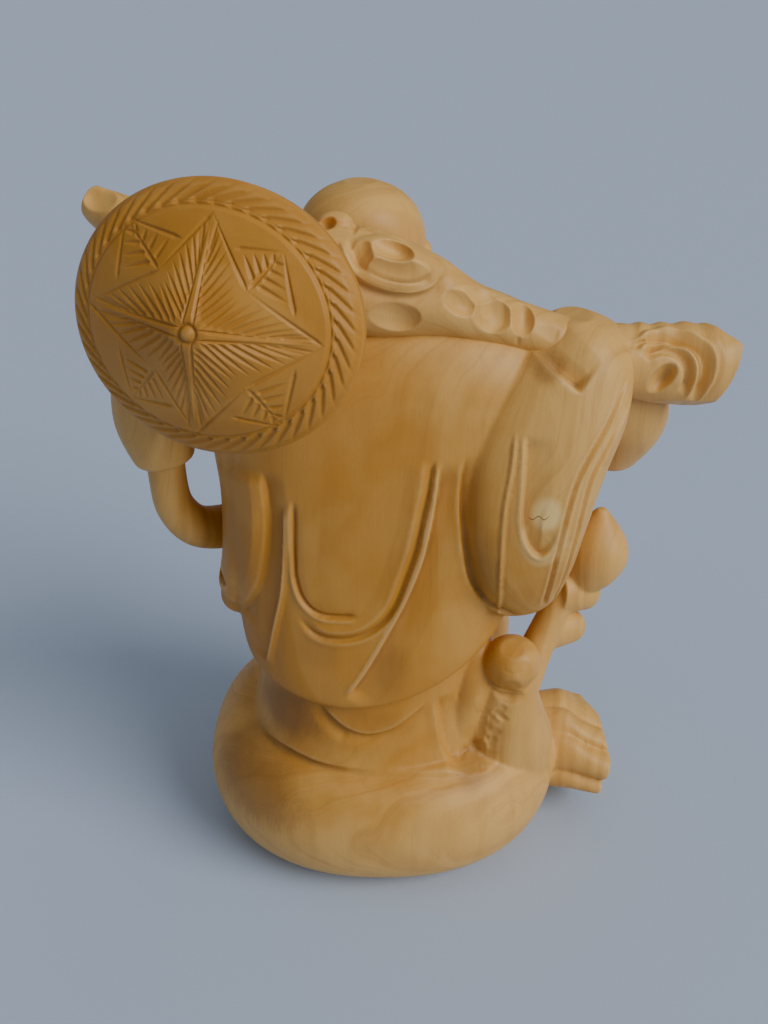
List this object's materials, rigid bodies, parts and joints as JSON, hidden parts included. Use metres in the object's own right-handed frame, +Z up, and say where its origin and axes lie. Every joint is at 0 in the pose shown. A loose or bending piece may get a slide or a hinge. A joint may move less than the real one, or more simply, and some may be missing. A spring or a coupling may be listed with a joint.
{
  "type": "wooden buddha figure",
  "caption": "Carved boxwood laughing buddha seated on a round sack, with a staff across the shoulders, a straw hat on the back and a small boy beside him.",
  "frame": {"origin": "on the ground, below the centre of the figure's box", "axes": "+Z up, -Y the way the figure faces, +X the figure's left-hand side"},
  "size_m": [0.1148, 0.0812, 0.1458],
  "materials": {
    "boxwood": "satin, hand-rubbed pale boxwood"
  },
  "bodies": {
    "root": {"laughing_buddha_carving": "boxwood"}
  },
  "joints": []
}
